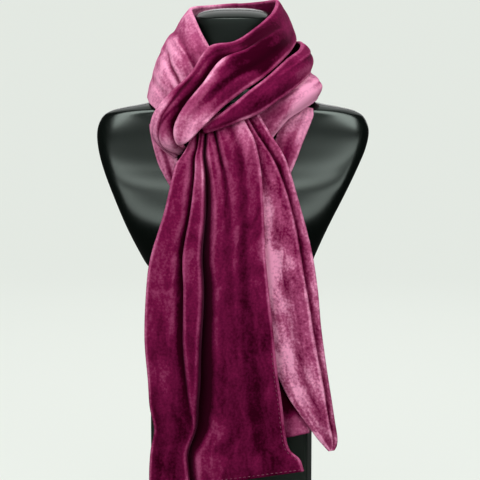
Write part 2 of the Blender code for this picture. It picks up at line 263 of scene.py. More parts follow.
REAR_TAIL = Stretch(
    node="rear_tail", light=0.45, creases=5, seed=18, held="hung", rests_on=("rear_tail_back_cloth",),
    rows=table(Row, (
        (16, -102, 578, 38, -98, 596, 1),
        (15, -105, 555, 58, -101, 563, 2),
        (19, -105, 520, 79, -102, 528, 3),
        (24, -104, 474, 95, -102, 478, 4),
        (32, -103, 409, 113, -102, 411, 5),
        (42, -102, 355, 122, -102, 357, 5),
        (53, -101, 303, 127, -101, 304, 5),
        (66, -100, 247, 135, -100, 247, 5),
        (83, -100, 209, 141, -100, 210, 4),
        (101, -100, 183, 146, -99, 178, 3),
        (121, -99, 155, 149.5, -98, 156, 2),
        (131, -98, 143, 149, -98, 145, 1),
        (137, -98, 136.5, 146, -98, 138, 0.5),
    )),
    folds=(
        Fold((0.52, 0.72, 0.86, 0.835, 0.885, 0.915, 0.88, 0.86, 0.86), (4, 5, 6, 6, 6, 6, 5, 3, 1),
             (4, 4, 4), lean=0.6),
        Fold((0.30, 0.35, 0.45, 0.48, 0.50, 0.52, 0.52, 0.50, 0.50), (1, 2, 2, 3, 3, 3, 2, 2, 1),
             (6, 8, 10, 9, 6)),
    ),
    brushed=table(Brushed, (
        (0.14, 0.74, 0.22, 16), (0.24, 0.66, 0.45, 12), (0.27, 0.42, 0.86, 10), (0.32, 0.68, 0.42, 12),
        (0.35, 0.38, 1.22, 16), (0.41, 0.66, 0.55, 12), (0.46, 0.30, 0.86, 15), (0.49, 0.66, 0.55, 12),
        (0.56, 0.70, 0.50, 10), (0.56, 0.28, 0.86, 18), (0.63, 0.44, 0.84, 16), (0.68, 0.68, 0.55, 10),
        (0.79, 0.25, 0.80, 10), (0.80, 0.68, 0.53, 8), (0.93, 0.50, 0.66, 10), (0.30, 0.98, 0.45, 8),
        (0.43, 1.00, 0.70, 8), (0.56, 1.00, 0.90, 9), (0.72, 1.00, 0.80, 7),
    )),
    mottle=1.6)

REAR_TAIL_BACK = Stretch(
    node="rear_tail_back", light=0.15, creases=4, seed=19, held="hung", rests_on=("display_bust_shell",),
    rows=table(Row, (
        (-10, -90, 560, 34, -88, 566, 2),
        (-20, -88, 500, 46, -88, 506, 3),
        (-24, -87, 420, 56, -88, 420, 3),
        (-24, -87, 340, 66, -90, 340, 3),
        (-20, -88, 258, 82, -92, 260, 3),
        (-17, -89, 190, 104, -92, 204, 3),
        (-15, -90, 130, 113, -92, 160, 2),
    )),
    folds=(
        Fold((0.5, 0.55, 0.6, 0.65, 0.7), (3, 3, 4, 4, 5), (9, 9, 9, 9, 9)),
    ),
    brushed=table(Brushed, (
        # The first patch is painted shadow, where this cloth shows in the gap between the tails
        (0.70, 0.80, -0.30, 25), (0.93, 0.66, 0.78, 9), (0.98, 0.90, 0.72, 10),
    )))

NECK_STRETCHES = (LEFT_WRAP, CROSSING_WRAP, MIDDLE_BAND, LOWER_BAND, LOWEST_BAND, LEFT_DRAPE)
TAIL_STRETCHES = (FRONT_TAIL, REAR_TAIL, REAR_TAIL_BACK)

# The fewest sections of a stretch, and the fewest points across its front
LEAST_ROWS = 12
LEAST_COLUMNS = 14
# Steps round each long edge, from the front to the back
EDGE_STEPS = 6
# The powers of a sine that round a stretch's crown, and that let its folds fade at the edges
CROWN_POWER = 0.9
EDGE_POWER = 0.25
# How strongly a fold draws in the cloth beside it
PINCH = 0.85
# Slow unevenness: its height, and its waves along and across with their shares
RIPPLE_HEIGHT = 0.9
RIPPLES = ((150, 60, 0.4), (90, 34, 0.3), (55, 22, 0.2), (30, 90, 0.1))
# Small creases: the stations along one and how far it wanders between them, and the least and the most of its
# place across, its reach along, its depth and its half width
CREASE_STATIONS = 7
CREASE_WANDER = 0.02
CREASE_PLACE = (0.06, 0.94)
CREASE_REACH = (0.12, 0.4)
CREASE_DEPTH = (0.4, 1.0)
CREASE_WIDTH = (3, 8)
# The depth of a fold that is painted wholly in shade inside, and the bend of a crest that is painted wholly as
# a highlight
FULL_SHADE_DEPTH = 11
CREST_BEND = 0.2
# The weight of a stretch's plain pile beside its patches, and how much longer a patch is along the cloth
PLAIN_PILE = 0.15
BRUSH_RUN = 1.7
# The painted sheen along each edge, a pale line: its strength, how far it leans to the light, and its width
EDGE_RIM = 0.42
EDGE_RIM_LIGHT = 0.95
EDGE_RIM_WIDTH = 1.2
# Where stretches meet at the back: how far from it they blend, how far their pile leans to the light there
# (painted as sheen and shade), and the scarf's top
BACK_REACH = 50
BACK_LIGHT = 0.42
BACK_TOP = 742
# The velvet's noises: the scale of its soft patches, its streaks and its grain, how much the first two are
# crushed, and how slowly the streaks change along the cloth
PATCH_SCALE = 24
STREAK_SCALE = 70
GRAIN_SCALE = 300
CRUSHING = 0.8
STREAK_RUN = 0.35
# The seams on the front tail: their pieces, the shares along its side between which it is sewn, and how many
# points in from the edge they run
STITCHES = ("side_stitches", "hem_stitches")
SIDE_SEAM = (0.60, 0.93)
SEAM_INSET = 2

# The column's top, the slope of the neck's top, and how square the bust's level sections are, with 2 for an
# ellipse
COLUMN_TOP = 366.3
NECK_TILT = 0.1
BUST_SQUARENESS = 2.5
BUST_LEVELS = table(Level, (
    (COLUMN_TOP, 107, -20, -66, 62, 0),
    (374, 112, -24, -70, 64, 0, 3),
    (390, 119, -32, -74, 66, 0, 5),
    (433, 138, -48, -79, 72, 0, 5),
    (480, 160, -44, -74.5, 76, 0, 3.5),
    (513, 174.5, -36, -68, 78, 0, 2.5),
    (540, 184, -28, -62, 77, 0, 1),
    (563, 187, -22, -57, 74, 0),
    (581, 181, -18, -53, 70, 0),
    (590, 169, -16, -52, 68, 0),
    (595, 151, -14, -50, 66, 0),
    (600, 125, -10, -49, 64, 0),
    (606, 102, -6, -49, 62, 0),
    (616, 82, -4, -49, 60, 0),
    (630, 67, -2, -50, 58, 0),
    (650, 58, 0, -51, 56, 0),
    (680, 54, 0, -52, 54, 0),
    (700, 54, 0, -53, 54, 0.5 * NECK_TILT),
    (711, 56, 0, -53, 56, NECK_TILT),
    (716, 55.5, 0, -52.3, 55.5, NECK_TILT),
))
# The part of the neck between the shoulders and the cap, in metres, that is given a dull copy of the bust's
# black as painted shade from the collar
SHADED_NECK = (0.62, 0.7135)
# The neck's cap: how far each ring shrinks to the middle, and how far it rises
CAP = ((0.985, 2.5), (0.94, 5.5), (0.86, 8.5), (0.72, 11.3), (0.5, 13.4), (0.25, 14.4))


class ClothSettings(bpy.types.PropertyGroup):
    """The scarf's cloth."""
    thickness: bpy.props.FloatProperty(
        name="Thickness", description="Thickness of the pressed velvet tube", default=0.005, unit="LENGTH")
    row_spacing: bpy.props.FloatProperty(
        name="Row spacing", description="Distance between sections along a stretch", default=0.003,
        unit="LENGTH")
    column_spacing: bpy.props.FloatProperty(
        name="Column spacing", description="Distance between points across a stretch", default=0.0015,
        unit="LENGTH")
    crease_depth: bpy.props.FloatProperty(
        name="Crease depth", description="Depth of the small creases", default=0.0016, unit="LENGTH")
    # The ramp's colours: deep for pile painted in shade, wine for the pile's own colour, rose and pale for
    # pile painted with sheen
    deep: bpy.props.FloatVectorProperty(
        name="Deep", description="Pile that leans away from the light", subtype="COLOR", size=3,
        default=(0.034, 0.0004, 0.008))
    wine: bpy.props.FloatVectorProperty(
        name="Wine", description="Pile that stands up", subtype="COLOR", size=3,
        default=(0.175, 0.0075, 0.055))
    rose: bpy.props.FloatVectorProperty(
        name="Rose", description="Pile that leans a little to the light", subtype="COLOR", size=3,
        default=(0.42, 0.078, 0.19))
    pale: bpy.props.FloatVectorProperty(
        name="Pale", description="Pile that is brushed flat to the light", subtype="COLOR", size=3,
        default=(0.95, 0.39, 0.60))
    # Painted shade: the colour that cloth deep inside a fold is darkened towards
    painted_fold_shade: bpy.props.FloatVectorProperty(
        name="Hollow", description="Cloth deep inside a fold", subtype="COLOR", size=3,
        default=(0.012, 0.0002, 0.003))
    sheen: bpy.props.FloatProperty(
        name="Sheen", description="Weight of the pile's sheen", default=0.3, subtype="FACTOR", min=0, max=1)
    thread: bpy.props.FloatVectorProperty(
        name="Thread", description="Colour of the thread", subtype="COLOR", size=3,
        default=(0.15, 0.012, 0.05))
    stitch_spacing: bpy.props.FloatProperty(
        name="Stitch spacing", description="From one stitch to the next", default=0.006, unit="LENGTH")
    stitch_length: bpy.props.FloatProperty(
        name="Stitch length", description="Length of a stitch", default=0.0035, unit="LENGTH")
    thread_radius: bpy.props.FloatProperty(
        name="Thread radius", description="Half the thickness of the thread", default=0.0005, unit="LENGTH")


class BustSettings(bpy.types.PropertyGroup):
    """The bust and the column."""
    points_round: bpy.props.IntProperty(
        name="Points round", description="Points in each level section", default=120)
    levels: bpy.props.IntProperty(
        name="Levels", description="Level sections from the column to the neck's cap", default=150)
    color: bpy.props.FloatVectorProperty(
        name="Colour", description="Black of the bust", subtype="COLOR", size=3,
        default=(0.001, 0.002, 0.0015))
    column: bpy.props.FloatVectorProperty(
        name="Column", description="Black of the column", subtype="COLOR", size=3,
        default=(0.012, 0.017, 0.013))
    roughness: bpy.props.FloatProperty(
        name="Roughness", description="Roughness of the bust", default=0.2, subtype="FACTOR")


class StageSettings(bpy.types.PropertyGroup):
    """The stage, its lights and the camera."""
    distance: bpy.props.FloatProperty(
        name="Distance", description="From the camera to the middle of the picture", default=1.9,
        unit="LENGTH")
    azimuth: bpy.props.FloatProperty(
        name="Azimuth", description="The camera's turn round the bust", default=math.radians(5.5),
        subtype="ANGLE")
    elevation: bpy.props.FloatProperty(
        name="Elevation", description="The camera's angle above level", default=math.radians(6),
        subtype="ANGLE")
    lens: bpy.props.FloatProperty(
        name="Lens", description="The camera's focal length in millimetres", default=101.8)
    backdrop: bpy.props.FloatVectorProperty(
        name="Backdrop", description="The pale floor and backdrop", subtype="COLOR", size=3,
        default=(0.76, 0.80, 0.75))
    glow: bpy.props.FloatProperty(
        name="Glow", description="Even light of the backdrop itself", default=0.99)
    lit: bpy.props.FloatProperty(
        name="Lit", description="How much of the lamps' light the backdrop gives back", default=0.05,
        subtype="FACTOR")
    world: bpy.props.FloatProperty(
        name="World", description="Strength of the even light from all round", default=0.05)


class Socket:
    """A shader socket, so that maths on it can be written as an expression."""

    def __init__(self, tree, output):
        self.tree = tree
        self.output = output

    def math(self, operation, *others, clamp=False):
        node = self.tree.nodes.new("ShaderNodeMath")
        node.operation = operation
        node.use_clamp = clamp
        for index, value in enumerate((self,) + others):
            feed(self.tree, node.inputs[index], value)
        return Socket(self.tree, node.outputs[0])

    def __add__(self, other):
        return self.math("ADD", other)

    __radd__ = __add__

    def __sub__(self, other):
        return self.math("SUBTRACT", other)

    def __rsub__(self, other):
        return (self * -1) + other

    def __mul__(self, other):
        return self.math("MULTIPLY", other)

    __rmul__ = __mul__

    def clamped(self):
        return self.math("ADD", 0, clamp=True)


def feed(tree, socket, value):
    """Links a socket to a value's output, or sets it to a plain value."""
    if isinstance(value, Socket):
        tree.links.new(value.output, socket)
    elif hasattr(value, "__len__") and len(value) == 3 and len(socket.default_value) == 4:
        socket.default_value = (*value, 1)
    else:
        socket.default_value = value


class Shader:
    """A material's node tree, with one way to add any node."""

    def __init__(self, name):
        self.material = bpy.data.materials.new(name)
        self.material.use_nodes = True
        self.tree = self.material.node_tree
        self.principled = self.tree.nodes["Principled BSDF"]

    def add(self, kind, output="", settings=None, stops=None, **values):
        """Adds a node, sets it up, feeds its sockets and gives back one of its outputs."""
        node = self.tree.nodes.new(kind)
        for name, value in (settings or {}).items():
            setattr(node, name, value)
        for index, (place, color) in enumerate(stops or ()):
            elements = node.color_ramp.elements
            element = elements[index] if index < len(elements) else elements.new(place)
            element.position = place
            element.color = (*color, 1)
        for name, value in values.items():
            feed(self.tree, socket_named(node, name), value)
        shown = [each for each in node.outputs if each.enabled]
        return Socket(self.tree, next((each for each in shown if each.name == output), shown[0]))

    def set(self, **values):
        for name, value in values.items():
            feed(self.tree, socket_named(self.principled, name), value)


def socket_named(node, name):
    """An enabled input by its name in plain letters, as base_color for Base Color."""
    wanted = name.replace("_", " ").lower()
    for socket in node.inputs:
        if socket.enabled and socket.name.lower() == wanted:
            return socket
    raise KeyError(f"{node.name} has no input {name}")


def guide_row(end, inner):
    """The row past an end: a mirror image at the middle of the back, and a straight run on elsewhere."""
    if len(end) == len(Row._fields) and abs(end[0]) <= BACK_SEAM:
        return inner * np.array((-1, 1, 1, -1, 1, 1, 1))
    return 2 * end - inner


def spline(stations, count):
    """count even places on smooth curves through the stations, and the direction at each."""
    rows = np.array(stations, dtype=float)
    if rows.ndim == 1:
        rows = rows[:, None]
    padded = np.vstack([guide_row(rows[0], rows[1]), rows, guide_row(rows[-1], rows[-2])])
    place = np.linspace(0, len(rows) - 1, count)
    first = np.minimum(place.astype(int), len(rows) - 2)
    t = (place - first)[:, None]
    before, here, there, after = (padded[first + step] for step in range(4))
    square = 2 * before - 5 * here + 4 * there - after
    cube = 3 * here - before - 3 * there + after
    values = here + 0.5 * ((there - before) * t + square * t ** 2 + cube * t ** 3)
    directions = (there - before) + 2 * square * t + 3 * cube * t ** 2
    return values, directions


def small_creases(stretch):
    """Creases that wander along a stretch, uneven in place, length and depth."""
    draw = np.random.default_rng(stretch.seed)
    folds = []
    for _ in range(stretch.creases):
        start = draw.uniform(*CREASE_PLACE)
        wander = start + np.cumsum(draw.normal(0, CREASE_WANDER, CREASE_STATIONS))
        middle = draw.uniform(0, 1)
        reach = draw.uniform(*CREASE_REACH)
        fade = np.exp(-((np.linspace(0, 1, CREASE_STATIONS) - middle) / reach) ** 2)
        deep = fade * draw.uniform(*CREASE_DEPTH) * draw.choice((1, 1, -0.7))
        folds.append(Fold(tuple(wander), tuple(deep), (draw.uniform(*CREASE_WIDTH),) * 2))
    return folds


def ripples(along, across, seed):
    """Slow unevenness of the cloth, from -1 to 1."""
    draw = np.random.default_rng(seed)
    total = np.zeros(np.broadcast(along, across).shape)
    for wave_along, wave_across, weight in RIPPLES:
        for _ in range(2):
            turn = draw.uniform(0.8, 1.25, 2)
            phase = draw.uniform(0, 2 * np.pi, 2)
            total += weight * np.sin(2 * np.pi * along * turn[0] / wave_along + phase[0]
                                     + 1.3 * np.sin(2 * np.pi * across * turn[1] / wave_across + phase[1]))
    return total / 2


def frames_along(stretch, count):
    """The sections of a stretch: its upper edge, the way across, the way out, its width and its crown."""
    sections, directions = spline(stretch.rows, count)
    across = sections[:, 3:6] - sections[:, :3]
    width = np.linalg.norm(across, axis=1)[:, None]
    across = across / width
    normal = np.cross(directions[:, :3] + directions[:, 3:6], across)
    normal /= np.linalg.norm(normal, axis=1)[:, None]
    return sections[:, :3], across, normal, width, sections[:, 6:7]


def pile_tone_with_painted_light(stretch, run, reach, width):
    """The pile's tone at each point, before the crushed mottle: how far it leans to the light, painted as
    sheen and shade.
    """
    total = np.full_like(reach, stretch.light * PLAIN_PILE)
    weight = np.full_like(reach, PLAIN_PILE)
    for patch in stretch.brushed:
        start = np.interp(patch.along, np.linspace(0, 1, len(run)), run[:, 0])
        away = np.hypot((run - start) / BRUSH_RUN, reach - patch.across * width) / patch.reach
        near = np.exp(-away ** 2)
        total += near * patch.light
        weight += near
    # Painted sheen: a pale line along each edge of the stretch
    inner, outer = reach - reach[:, :1], reach[:, -1:] - reach
    painted_edge_sheen = np.exp(-(inner / EDGE_RIM_WIDTH) ** 2) + np.exp(-(outer / EDGE_RIM_WIDTH) ** 2)
    plain = total / weight
    return plain + (EDGE_RIM_LIGHT - plain) * EDGE_RIM * painted_edge_sheen


def back_share(stretch, run):
    """1 at the middle of the back, where the stretches meet, and less away from it."""
    share = np.zeros_like(run)
    for end in (0, -1):
        if abs(stretch.rows[end].ax) <= BACK_SEAM:
            share += np.exp(-((run - run[end]) / BACK_REACH) ** 2)
    return share


def back_start(stretch, run):
    """The run at the middle of the back, and how far below the top the stretch starts there.

    From them the pile's streaks carry on from one stretch to the next.
    """
    for end in (0, -1):
        if abs(stretch.rows[end].ax) <= BACK_SEAM:
            return run[end, 0], BACK_TOP - stretch.rows[end].az
    return 0, 0


def round_section(front):
    """Values across the front, carried on round one edge, the back and the other edge."""
    return np.concatenate([front, np.repeat(front[:, -1:], EDGE_STEPS - 1, axis=1), front[:, ::-1],
                           np.repeat(front[:, :1], EDGE_STEPS - 1, axis=1)], axis=1)


def edge_arc(place, side, thick):
    """Half a circle round an edge, from the front to the back."""
    turns = np.pi * np.arange(1, EDGE_STEPS) / EDGE_STEPS
    reach = place[:, :, 0] + side * np.sin(turns) * thick / 2
    height = place[:, :, 1] - (1 - np.cos(turns)) * thick / 2
    return np.stack([reach, height], axis=-1)


def folded(stretch, cloth, height, share, width, rear):
    """The height with its folds and creases, how far they draw the cloth across, and their painted shade."""
    soft_edge = np.sin(np.pi * share) ** EDGE_POWER
    painted_fold_shade = np.zeros_like(height)
    shift = np.zeros_like(height)
    folds = [(fold, 1) for fold in stretch.folds]
    folds += [(fold, (1 - rear) * cloth.crease_depth / MM) for fold in small_creases(stretch)]
    for fold, scale in folds:
        at, deep, wide = (spline(values, len(height))[0] for values in fold[:3])
        away = (share - at) * width / wide
        even = np.exp(-away ** 2)
        bell = np.exp(-np.abs(away / (1 + fold.lean * np.sign(away))) ** fold.power)
        height = height - scale * deep * bell * soft_edge
        shift -= PINCH * np.tanh(scale * deep / wide) * wide * away * even * soft_edge
        painted_fold_shade += scale * deep * bell / FULL_SHADE_DEPTH
    return height, shift, np.maximum(painted_fold_shade, 0)


def crests(height, reach):
    """How sharply the cloth bends outwards at each point, from 0 to 1."""
    slope = np.gradient(height, axis=1) / np.gradient(reach, axis=1)
    return np.clip(-np.gradient(slope, axis=1) / np.gradient(reach, axis=1) / CREST_BEND, 0, 1)


def surface(stretch, cloth):
    """Loops of points round a stretch's sections, the layers that the velvet reads, and the flat places."""
    middle = np.array(stretch.rows)[:, :3] + np.array(stretch.rows)[:, 3:6]
    length = np.linalg.norm(np.diff(middle / 2, axis=0), axis=1).sum()
    count = max(LEAST_ROWS, int(length * MM / cloth.row_spacing))
    edge, across, normal, width, crown = frames_along(stretch, count)
    thick = cloth.thickness / MM
    columns = max(LEAST_COLUMNS, int(width.max() * MM / cloth.column_spacing))
    share = np.linspace(0, 1, columns)[None, :]
    reach = thick / 2 + share * (width - thick)
    centre = edge + across * width / 2
    run = np.concatenate([[0], np.cumsum(np.linalg.norm(np.diff(centre, axis=0), axis=1))])[:, None]
    rear = back_share(stretch, run)
    crowned = crown * np.sin(np.pi * share) ** CROWN_POWER
    height, shift, painted_fold_shade = folded(stretch, cloth, crowned, share, width, rear)
    uneven = RIPPLE_HEIGHT * (1 - rear) * ripples(run, reach, stretch.seed)
    height += uneven * np.sin(np.pi * share) ** EDGE_POWER
    # The pile's tone with painted sheen and shade, blended to one tone where the stretches meet at the back
    light = pile_tone_with_painted_light(stretch, run, reach, width)
    light += (BACK_LIGHT - light) * rear

    front = np.stack([reach + shift, height], axis=-1)
    behind = front[:, ::-1] - (0, thick)
    loop = np.concatenate([front, edge_arc(front[:, -1:], 1, thick), behind,
                           edge_arc(front[:, :1], -1, thick)[:, ::-1]], axis=1)
    points = edge[:, None] + across[:, None] * loop[..., :1] + normal[:, None] * loop[..., 1:]
    # The layers that the velvet paints from: the pile's tone with painted sheen and shade, painted shade in
    # folds, painted highlights on crests, and how strong the mottle is
    layers = {"nap": light, "painted_fold_shade": painted_fold_shade, "painted_crest_highlight": crests(height, reach) * (1 - rear),
              "mottle": np.full_like(reach, stretch.mottle)}
    layers = {name: round_section(values) for name, values in layers.items()}
    start, top = back_start(stretch, run)
    along = np.broadcast_to(run - start, loop.shape[:2])
    flat = np.stack([along, round_section(reach) + top], axis=-1) * MM
    return points * MM, layers, flat


def meet_at_back(shapes):
    """Moves the left wrap's end at the back in or out, to lie flush with the stretches that go on there."""
    points, _, flat = shapes[LEFT_WRAP.node]
    ends = [shapes[other.node][0] for other in (CROSSING_WRAP, MIDDLE_BAND, LOWER_BAND)]
    line = np.concatenate([end[0, :front_columns(end)] for end in ends])
    line = line[np.argsort(line[:, 2])]
    columns = front_columns(points)
    step = np.interp(points[-1, :columns, 2], line[:, 2], line[:, 1]) - points[-1, :columns, 1]
    run = flat[:, :1, 0] - flat[-1, 0, 0]
    points[..., 1] += round_section(step[None, :]) * np.exp(-(run / (BACK_REACH * MM)) ** 2)


def end_faces(columns, loop):
    """Faces across the flat end of a tube, between the front of its loop and the back."""
    back = [loop - EDGE_STEPS - column for column in range(columns)]
    faces = [(column, column + 1, back[column + 1], back[column]) for column in range(columns - 1)]
    faces.append(tuple(range(columns - 1, columns + EDGE_STEPS)))
    faces.append((*range(loop - EDGE_STEPS, loop), 0))
    return faces


def front_columns(points):
    """How many points of each loop lie on the front."""
    return (points.shape[1] - 2 * (EDGE_STEPS - 1)) // 2


def ring_faces(rings, loop):
    """Four-cornered faces between rings of points that follow one another."""
    index = np.arange(rings * loop).reshape(rings, loop)
    onward = np.roll(index, -1, axis=1)
    return np.stack([index[:-1], onward[:-1], onward[1:], index[1:]], axis=-1).reshape(-1, 4)


def tube_mesh(name, points, layers, flat):
    """A closed mesh through the loops, with its own UV map and the layers that the velvet reads."""
    rows, loop = points.shape[:2]
    faces = np.roll(ring_faces(rows, loop)[:, ::-1], 1, axis=1).tolist()
    ends = end_faces(front_columns(points), loop)
    last = (rows - 1) * loop
    faces += ends + [[last + corner for corner in reversed(face)] for face in ends]
    mesh = bpy.data.meshes.new(name)
    mesh.from_pydata(points.reshape(-1, 3).tolist(), [], faces)
    mesh.shade_smooth()
    for face in mesh.polygons[-2 * len(ends):]:
        face.use_smooth = False
    for layer, values in layers.items():
        attribute = mesh.attributes.new(layer, "FLOAT", "POINT")
        attribute.data.foreach_set("value", values.ravel().astype(np.float32))
    corners = np.empty(len(mesh.loops), dtype=np.int32)
    mesh.loops.foreach_get("vertex_index", corners)
    mesh.uv_layers.new(name="cloth").uv.foreach_set("vector", flat.reshape(-1, 2)[corners].ravel())
    mesh.validate()
    return mesh


def show(context, mesh, slot, *nodes):
    """Puts a piece in the scene, with the nodes that it stands for."""
    piece = bpy.data.objects.new(mesh.name, mesh)
    context.scene.collection.objects.link(piece)
    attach(piece, BODY)
    if nodes:
        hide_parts(*nodes)
    return piece


def mesh_area(mesh):
    """The area of a mesh, with both sides of a cloth counted."""
    return sum(face.area for face in mesh.polygons)


def drape(context, stretch, shape, material):
    """Makes one stretch of the scarf."""
    points, layers, flat = shape
    mesh = tube_mesh(stretch.node + "_cloth", points, layers, flat)
    mesh.materials.append(material)
    piece = show(context, mesh, "velvet", stretch.node)
    length = float(np.ptp(flat[:, 0, 0]))
    mesh_area(mesh) / 2 / length


def noise(shader, place, scale, detail, distortion=0.0):
    """Soft noise from 0 to 1."""
    return shader.add("ShaderNodeTexNoise", vector=place, scale=scale, detail=detail, distortion=distortion)


def layer_value(shader, name):
    """A layer of the cloth's mesh."""
    return shader.add("ShaderNodeAttribute", output="Fac", settings={"attribute_name": name})


def velvet(cloth):
    """Crushed velvet: the pile leans this way and that, from wine to dusty pink in soft patches of painted
    sheen and shade.
    """
    shader = Shader("crushed_velvet")
    place = shader.add("ShaderNodeTexCoord", output="Object")
    nap, painted_fold_shade, painted_crest_highlight, mottle = (layer_value(shader, name) for name in ("nap", "painted_fold_shade", "painted_crest_highlight", "mottle"))
    flat = shader.add("ShaderNodeUVMap", settings={"uv_map": "cloth"})
    streaks = shader.add("ShaderNodeVectorMath", settings={"operation": "MULTIPLY"}, vector=flat)
    streaks.output.node.inputs[1].default_value = (STREAK_RUN, 1, 1)
    patches = noise(shader, place, PATCH_SCALE, 2, CRUSHING)
    crush = noise(shader, streaks, STREAK_SCALE, 4, CRUSHING)
    grain = noise(shader, place, GRAIN_SCALE, 4)
    lean = nap.clamped()
    speckle = (crush - 0.5) * (lean * 0.5 + 0.3) + (grain - 0.5) * (lean * 0.3 + 0.3)
    # Painted shade inside the folds and painted highlights along the crests, on top of the pile's tone
    light = nap + (patches - 0.5) * (lean * 0.6 + 0.2) + speckle * mottle - painted_fold_shade * 0.5 + painted_crest_highlight * 0.25
    # The ramp from pile painted in shade, through the pile's wine, to pile painted with sheen
    stops = ((0.0, cloth.deep), (0.3, cloth.wine), (0.62, cloth.rose), (1.0, cloth.pale))
    color = shader.add("ShaderNodeValToRGB", stops=stops, fac=light.clamped())
    # Painted shade: deep inside a fold the colour turns to the fold's dark colour
    shaded = shader.add("ShaderNodeMix", output="Result", settings={"data_type": "RGBA"},
                        factor=(painted_fold_shade * 0.7).clamped(), a=color, b=cloth.painted_fold_shade)
    bumps = shader.add("ShaderNodeBump", strength=0.5, distance=0.0015,
                       height=crush + patches * 0.6 + grain * 0.05)
    shader.set(base_color=shaded, normal=bumps, roughness=0.7, sheen_weight=cloth.sheen, sheen_roughness=0.4,
               sheen_tint=(1.0, 0.22, 0.5), specular_ior_level=0.0)
    return shader.material


def cloth_material(cloth):
    """The one velvet that all the stretches share."""
    return bpy.data.materials.get("crushed_velvet") or velvet(cloth)


def satin_black(name, color, roughness, gloss=0.45):
    """Satin black plastic, with a slightly uneven finish."""
    shader = Shader(name)
    place = shader.add("ShaderNodeTexCoord", output="Object")
    uneven = noise(shader, place, 9, 3)
    shader.set(base_color=color, roughness=roughness + (uneven - 0.5) * 0.08, specular_ior_level=gloss,
               specular_tint=(0.86, 1.0, 0.92))
    return shader.material


def silk_thread(cloth):
    """Silk thread, a shade lighter than the pile."""
    shader = Shader("thread")
    shader.set(base_color=cloth.thread, roughness=0.45)
    return shader.material


def bust_mesh(bust):
    """The bust: rounded level sections from the column to the neck, and the domed cap on the neck."""
    levels = spline(BUST_LEVELS, bust.levels)[0]
    turn = np.linspace(0, 2 * np.pi, bust.points_round, endpoint=False)
    power = 2 / BUST_SQUARENESS
    side = np.sign(np.cos(turn)) * np.abs(np.cos(turn)) ** power
    depth = np.abs(np.sin(turn)) ** power
    z, half, middle, front, back, tilt, aside = (levels[:, column:column + 1] for column in range(7))
    x = half * side - aside
    y = middle + (np.where(np.sin(turn) < 0, front, back) - middle) * depth
    rings = np.stack([x, y, z + tilt * y], axis=-1)
    centre = rings[-1].mean(axis=0)
    dome = [centre + (rings[-1] - centre) * scale + (0, 0, rise) for scale, rise in CAP]
    points = np.concatenate([rings, dome]) * MM
    count, loop = points.shape[:2]
    faces = ring_faces(count, loop).tolist()
    faces += [list(range(loop))[::-1], list(range((count - 1) * loop, count * loop))]
    mesh = bpy.data.meshes.new("display_bust_shell")
    mesh.from_pydata(points.reshape(-1, 3).tolist(), [], faces)
    mesh.shade_smooth()
    return mesh


def stitch_tree():
    """Geometry Nodes that set a short stitch at even steps along a path."""
    tree = bpy.data.node_groups.new("stitches_along_path", "GeometryNodeTree")
    for name, kind in (("Path", "Geometry"), ("Spacing", "Float"), ("Length", "Float"), ("Radius", "Float"),
                       ("Thread", "Material")):
        tree.interface.new_socket(name=name, in_out="INPUT", socket_type="NodeSocket" + kind)
    tree.interface.new_socket(name="Stitches", in_out="OUTPUT", socket_type="NodeSocketGeometry")
    given, made, curve, even, tangent, turn, thread, size, scaled, copies, real, smooth, paint = (
        tree.nodes.new(kind) for kind in (
            "NodeGroupInput", "NodeGroupOutput", "GeometryNodeMeshToCurve", "GeometryNodeResampleCurve",
            "GeometryNodeInputTangent", "FunctionNodeAlignRotationToVector", "GeometryNodeMeshUVSphere",
            "ShaderNodeCombineXYZ", "GeometryNodeTransform", "GeometryNodeInstanceOnPoints",
            "GeometryNodeRealizeInstances", "GeometryNodeSetShadeSmooth", "GeometryNodeSetMaterial"))
    even.mode = "LENGTH"
    turn.axis = "X"
    thread.inputs["Segments"].default_value = 8
    thread.inputs["Rings"].default_value = 6
    thread.inputs["Radius"].default_value = 0.5
    for giver, output, taker, entry in (
            (given, "Path", curve, "Mesh"), (curve, "Curve", even, "Curve"),
            (given, "Spacing", even, "Length"), (tangent, "Tangent", turn, "Vector"),
            (given, "Length", size, "X"), (given, "Radius", size, "Y"), (given, "Radius", size, "Z"),
            (thread, "Mesh", scaled, "Geometry"), (size, "Vector", scaled, "Scale"),
            (even, "Curve", copies, "Points"), (scaled, "Geometry", copies, "Instance"),
            (turn, "Rotation", copies, "Rotation"), (copies, "Instances", real, "Geometry"),
            (real, "Geometry", smooth, "Geometry"), (smooth, "Geometry", paint, "Geometry"),
            (given, "Thread", paint, "Material"), (paint, "Geometry", made, "Stitches")):
        tree.links.new(giver.outputs[output], taker.inputs[entry])
    return tree


def stitches(context, name, path, cloth, material):
    """A row of stitches along a path, kept as plain mesh."""
    mesh = bpy.data.meshes.new(name)
    mesh.from_pydata([tuple(point) for point in path], [(i, i + 1) for i in range(len(path) - 1)], [])
    line = bpy.data.objects.new(name + "_path", mesh)
    context.scene.collection.objects.link(line)
    modifier = line.modifiers.new("stitches", "NODES")
    modifier.node_group = stitch_tree()
    wanted = {"Spacing": cloth.stitch_spacing, "Length": cloth.stitch_length,
              "Radius": 2 * cloth.thread_radius, "Thread": material}
    for item in modifier.node_group.interface.items_tree:
        if item.name in wanted:
            modifier[item.identifier] = wanted[item.name]
    evaluated = line.evaluated_get(context.evaluated_depsgraph_get())
    kept = bpy.data.meshes.new_from_object(evaluated)
    bpy.data.objects.remove(line)
    bpy.data.meshes.remove(mesh)
    kept.name = name
    return kept


# The floor and the wall round it, in metres: how far the floor is flat, the bend up to the wall, and the wall
FLOOR_REACH = 1.5
BEND = 1.4
WALL_REACH = 4.0
WALL_HEIGHT = 6.0
# The middle of the picture, in metres
AIM = (0.009, 0.0, 0.410)
